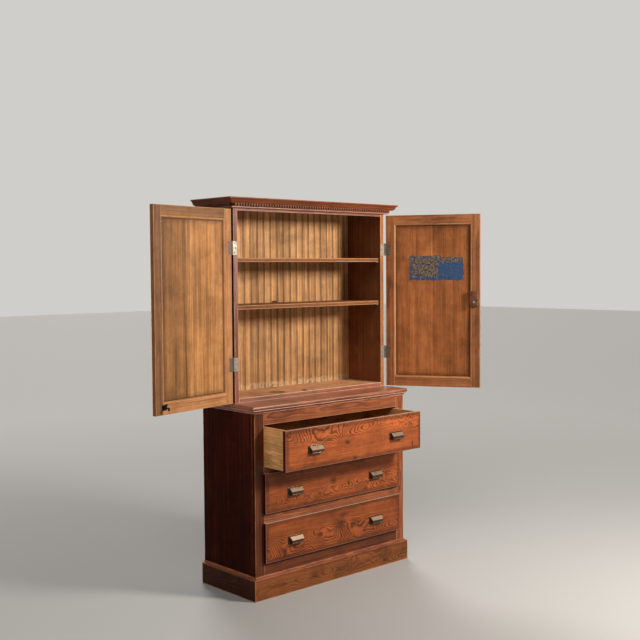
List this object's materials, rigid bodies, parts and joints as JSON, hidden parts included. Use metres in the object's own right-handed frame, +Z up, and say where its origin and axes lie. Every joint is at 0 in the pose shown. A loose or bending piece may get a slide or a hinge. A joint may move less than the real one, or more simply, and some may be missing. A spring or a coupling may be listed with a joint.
{
  "type": "store cabinet",
  "caption": "Tall stained-wood store cabinet: chest of drawers with hooded pulls below; above, a shelved case with beadboard back, panelled hinged doors and dentilled cornice.",
  "frame": {"origin": "on the floor, at the middle of the plinth's footprint", "axes": "+Z up, +Y to the back (the wall), +X to the right as seen from the front"},
  "size_m": [1.9158, 0.7457, 1.998],
  "materials": {
    "stained": "worn red-brown stain under thin shellac",
    "stained_dark": "dark red-brown stain, satin",
    "bare": "unfinished, aged honey brown",
    "beaded": "unfinished, aged tan",
    "bronze": "worn bronze lacquer",
    "iron": "black, dull",
    "steel": "tarnished",
    "rusted": "brown lacquer, worn"
  },
  "bodies": {
    "cabinet": {"plinth_boards": "stained_dark", "chest_side_left": "stained_dark", "chest_side_right": "stained_dark", "chest_back_boards": "stained_dark", "chest_bottom": "bare", "base_bearer": "bare", "face_stile_left": "stained", "face_stile_right": "stained", "face_rail_top": "stained", "face_rails_between": "stained", "face_rail_bottom": "stained", "drawer_runners": "bare", "drawer_guides": "bare", "ledge_board": "stained", "waist_moulding": "stained", "case_side_left": "stained", "case_side_right": "stained", "case_bottom": "bare", "case_top": "bare", "case_back_boards": "beaded", "frieze_rail": "stained", "dentil_course": "stained", "crown_moulding": "stained", "shelf_upper": "bare", "shelf_lower": "bare", "shelf_pegs": "steel", "hinge_case_leaves": "steel", "hinge_pins": "steel", "catch_strike": "iron"},
    "door_left": {"door_left_hinge_stile": "stained", "door_left_meeting_stile": "stained", "door_left_top_rail": "stained", "door_left_bottom_rail": "stained", "door_left_panel": "bare", "door_left_panel_bead": "bare", "door_left_hinge_leaves": "steel", "catch_bracket": "iron"},
    "catch_lever": {"catch_lever": "iron"},
    "door_right": {"door_right_hinge_stile": "stained", "door_right_meeting_stile": "stained", "door_right_top_rail": "stained", "door_right_bottom_rail": "stained", "door_right_panel": "bare", "door_right_panel_bead": "bare", "door_right_hinge_leaves": "steel", "lock_case": "rusted"},
    "lock_bolt": {"lock_bolt": "steel"},
    "drawer_top": {"drawer_top_front": "stained", "drawer_top_box": "bare", "drawer_top_bottom": "bare", "drawer_top_pulls": "bronze"},
    "drawer_middle": {"drawer_middle_front": "stained", "drawer_middle_box": "bare", "drawer_middle_bottom": "bare", "drawer_middle_pulls": "bronze"},
    "drawer_bottom": {"drawer_bottom_front": "stained", "drawer_bottom_box": "bare", "drawer_bottom_bottom": "bare", "drawer_bottom_pulls": "bronze"}
  },
  "joints": [
    {"name": "door_left_hinge", "type": "hinge", "parent": "cabinet", "child": "door_left", "pos_m": [-0.5435, -0.0565, 1.456], "axis": [0, 0, -1], "range_deg": [-168.2, 9.8]},
    {"name": "door_right_hinge", "type": "hinge", "parent": "cabinet", "child": "door_right", "pos_m": [0.5435, -0.0565, 1.456], "axis": [0, 0, 1], "range_deg": [-120.4, 54.6]},
    {"name": "catch_lever_pivot", "type": "hinge", "parent": "door_left", "child": "catch_lever", "pos_m": [-1.02161, -0.16404, 1.006], "axis": [-0.9789, -0.2045, 0], "range_deg": [0, 20], "stiffness_Nm_per_rad": 0.15},
    {"name": "lock_bolt_throw", "type": "slide", "parent": "door_right", "child": "lock_bolt", "axis": [0.506, -0.8625, 0], "range_m": [0, 0.022]},
    {"name": "drawer_top_slide", "type": "slide", "parent": "cabinet", "child": "drawer_top", "axis": [0, -1, 0], "range_m": [-0.156, 0.11]},
    {"name": "drawer_middle_slide", "type": "slide", "parent": "cabinet", "child": "drawer_middle", "axis": [0, -1, 0], "range_m": [0, 0.266]},
    {"name": "drawer_bottom_slide", "type": "slide", "parent": "cabinet", "child": "drawer_bottom", "axis": [0, -1, 0], "range_m": [0, 0.266]}
  ]
}
